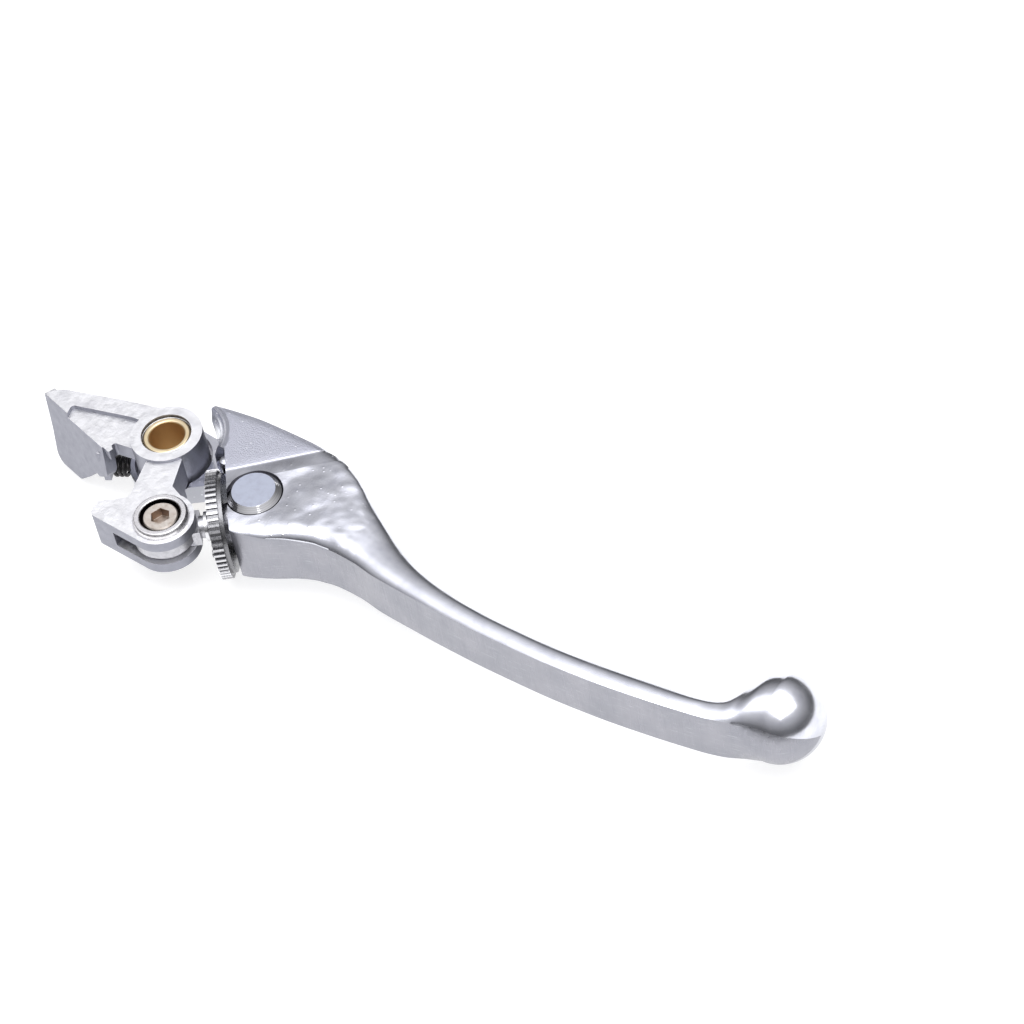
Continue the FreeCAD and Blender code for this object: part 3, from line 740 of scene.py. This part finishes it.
def make_camera():
    """A long lens, looking down from the rider's side and the ball's end."""
    data = bpy.data.cameras.new("camera")
    data.sensor_width = 36.0
    data.lens = LENS
    data.clip_start = 0.01
    data.clip_end = 10.0
    camera = bpy.data.objects.new("camera", data)
    bpy.context.collection.objects.link(camera)
    camera.rotation_euler = [math.radians(a) for a in CAMERA_TURNS]
    camera.location = Vector(CAMERA_PLACE) * MM
    bpy.context.scene.camera = camera


def make_floor():
    """White paper just under the lever; it glows a little, so shadows stay faint."""
    low = CAD_BOX[0][2] - FLOOR_GAP
    bm = bmesh.new()
    corners = [(x * FLOOR_HALF, y * FLOOR_HALF, low) for x, y in ((-1, -1), (1, -1), (1, 1), (-1, 1))]
    bm.faces.new([bm.verts.new(c) for c in corners])
    mesh = bpy.data.meshes.new("floor")
    bm.to_mesh(mesh)
    bm.free()
    floor = bpy.data.objects.new("floor", mesh)
    bpy.context.collection.objects.link(floor)
    paper = Finish("paper", (0.50, 0.50, 0.50), 0.8, 0.0)
    paper.shader.inputs["Emission Color"].default_value = (1, 1, 1, 1)
    paper.shader.inputs["Emission Strength"].default_value = 0.72
    paper.bump(paper.noise(0.5, 2), 0.01)
    mesh.materials.append(paper.material)


def make_sky():
    """Soft light all round: bright overhead, greyer towards the horizon."""
    world = bpy.data.worlds.new("studio")
    bpy.context.scene.world = world
    world.use_nodes = True
    tree = world.node_tree
    coords = tree.nodes.new("ShaderNodeTexCoord")
    split = tree.nodes.new("ShaderNodeSeparateXYZ")
    ramp = tree.nodes.new("ShaderNodeValToRGB")
    tree.links.new(coords.outputs["Generated"], split.inputs[0])
    tree.links.new(split.outputs["Z"], ramp.inputs[0])
    tree.links.new(ramp.outputs[0], tree.nodes["Background"].inputs["Color"])
    top = max(level for _, level in SKY_LEVELS)
    tree.nodes["Background"].inputs["Strength"].default_value = top
    while len(ramp.color_ramp.elements) < len(SKY_LEVELS):
        ramp.color_ramp.elements.new(0.5)
    for element, (place, level) in zip(ramp.color_ramp.elements, SKY_LEVELS):
        element.position = place
        element.color = (level / top, level / top, level / top * SKY_BLUE, 1)
    bpy.context.scene.view_settings.view_transform = "Standard"


def make_lamp():
    """One large soft lamp overhead."""
    light = bpy.data.lights.new("key", "AREA")
    light.energy = 5.0
    light.size = 0.9
    lamp = bpy.data.objects.new("key", light)
    bpy.context.collection.objects.link(lamp)
    lamp.location = Vector(KEY_PLACE) * MM
    aim = Vector(KEY_AIM) * MM
    lamp.rotation_euler = (aim - lamp.location).to_track_quat("-Z", "Y").to_euler()


# ---------------------------------------------------------------------- build
make_blade(polished_casting(), ground_side(), machined_metal())

zinc = plated("zinc_plate", (0.52, 0.52, 0.55), 0.34)
nickel = plated("nickel_plate", (0.74, 0.74, 0.76), 0.18)
spring_steel = plated("spring_steel", (0.40, 0.40, 0.42), 0.3)
node_finishes = {
    "knocker": blasted_casting(),
    "pivot_bush": brass(),
    "thrust_washer": nickel,
    "adjuster_rod": zinc,
    "rod_washer": nickel,
    "rod_end_clip": spring_steel,
    "barrel_clip": spring_steel,
    "adjuster_wheel": knurled_nickel(),
    "preload_coil": black_wire(),
    "barrel_pin": pin_steel(),
    "socket_pin": socket_steel(),
    "pin_collar": collar_steel(),
}
for node, material in node_finishes.items():
    dress(node, material)

refine("knocker", 0.35, 3)
for node in ("pivot_bush", "adjuster_rod", "barrel_pin", "socket_pin", "pin_collar", "barrel_clip"):
    refine(node, 0.12)
refine("adjuster_wheel", 0.08, 1)

make_camera()
make_floor()
make_sky()
make_lamp()
